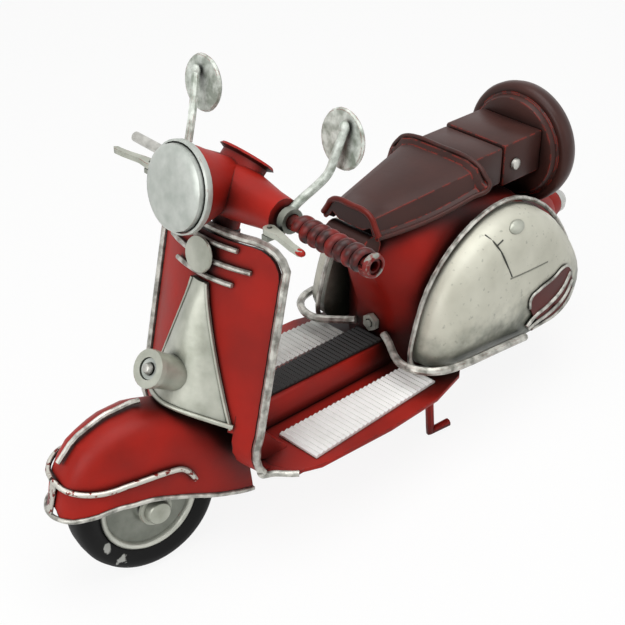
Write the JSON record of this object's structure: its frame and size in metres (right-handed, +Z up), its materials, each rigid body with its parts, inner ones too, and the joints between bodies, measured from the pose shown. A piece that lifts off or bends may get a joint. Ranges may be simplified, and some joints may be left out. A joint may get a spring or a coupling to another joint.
{
  "type": "scooter model",
  "caption": "Tin-plate display model of a step-through motor scooter with a steering fork, turning wheels, pull levers, a swing-up side stand, a cantilever saddle and a spare wheel cover.",
  "frame": {"origin": "on the ground under the rear axle, where the rear tyre stands", "axes": "+X forward, +Y to the rider's left, +Z up"},
  "size_m": [0.2962, 0.1419, 0.1836],
  "materials": {
    "red_paint": "satin red paint with dark antique wash",
    "silver_paint": "antiqued silver paint",
    "brown_paint": "satin brown paint rubbed through on the edges",
    "bright_steel": "bare steel",
    "black_mat": "matt black paint on ribbed sheet",
    "tyre": "black, scuffed"
  },
  "bodies": {
    "frame": {"leg_shield": "red_paint", "shield_trim": "silver_paint", "horn_cover": "silver_paint", "horn_ball": "bright_steel", "badge_bar_top": "silver_paint", "badge_bar_middle": "silver_paint", "badge_bar_low": "silver_paint", "badge_disc": "silver_paint", "floor": "red_paint", "floor_tunnel": "red_paint", "floor_mat_left": "silver_paint", "floor_mat_right": "silver_paint", "centre_mat": "black_mat", "steering_column": "red_paint", "rear_body": "red_paint", "panel_nut": "bright_steel", "panel_stud": "bright_steel", "cowl_left": "silver_paint", "cowl_right": "silver_paint", "cowl_trim_left": "silver_paint", "cowl_trim_right": "silver_paint", "bumper_rail_left": "silver_paint", "bumper_rail_right": "silver_paint", "saddle": "brown_paint", "saddle_roll": "brown_paint", "pillion_box_front": "brown_paint", "pillion_box_rear": "brown_paint", "box_screw_left": "bright_steel", "box_screw_right": "bright_steel", "spare_wheel_cover": "brown_paint", "tail_lamp": "red_paint", "tail_lamp_lens": "silver_paint", "rear_axle": "bright_steel", "stand_lug": "red_paint"},
    "steering": {"front_fork": "silver_paint", "front_axle": "bright_steel", "mudguard": "red_paint", "mudguard_crest": "silver_paint", "mudguard_bar_left": "silver_paint", "mudguard_bar_right": "silver_paint", "headset": "red_paint", "headlamp_rim": "silver_paint", "headlamp_lens": "silver_paint", "bar_left": "bright_steel", "bar_right": "bright_steel", "grip_wrap_left": "red_paint", "lever_perch_left": "silver_paint", "lever_perch_right": "silver_paint", "mirror_stem_left": "silver_paint", "mirror_stem_right": "silver_paint", "mirror_left": "silver_paint", "mirror_right": "silver_paint"},
    "front_wheel": {"front_tyre": "tyre", "front_wheel_disc": "silver_paint"},
    "rear_wheel": {"rear_tyre": "tyre", "rear_wheel_disc": "silver_paint"},
    "stand": {"side_stand": "red_paint"},
    "left_lever": {"lever_left": "silver_paint"},
    "right_lever": {"lever_right": "silver_paint"}
  },
  "joints": [
    {"name": "steering_turn", "type": "hinge", "parent": "frame", "child": "steering", "pos_m": [0.13774, 0, 0.14658], "axis": [-0.2778, 0, 0.9607], "range_deg": [-15, 30]},
    {"name": "front_wheel_spin", "type": "hinge", "parent": "steering", "child": "front_wheel", "pos_m": [0.19285, -0.00391, 0.03118], "axis": [0.1767, 0.9829, 0.0511], "continuous": true},
    {"name": "rear_wheel_spin", "type": "hinge", "parent": "frame", "child": "rear_wheel", "pos_m": [0, 0, 0.03085], "axis": [0, 1, 0], "continuous": true},
    {"name": "stand_swing", "type": "hinge", "parent": "frame", "child": "stand", "pos_m": [0.05908, 0.0285, 0.02812], "axis": [0, 1, 0], "range_deg": [0, 70]},
    {"name": "left_lever_pull", "type": "hinge", "parent": "steering", "child": "left_lever", "pos_m": [0.15106, 0.03555, 0.14914], "axis": [-0.0726, -0.0163, 0.9972], "range_deg": [0, 10]},
    {"name": "right_lever_pull", "type": "hinge", "parent": "steering", "child": "right_lever", "pos_m": [0.14556, -0.03723, 0.14755], "axis": [0.0726, 0.0163, -0.9972], "range_deg": [0, 12]}
  ]
}
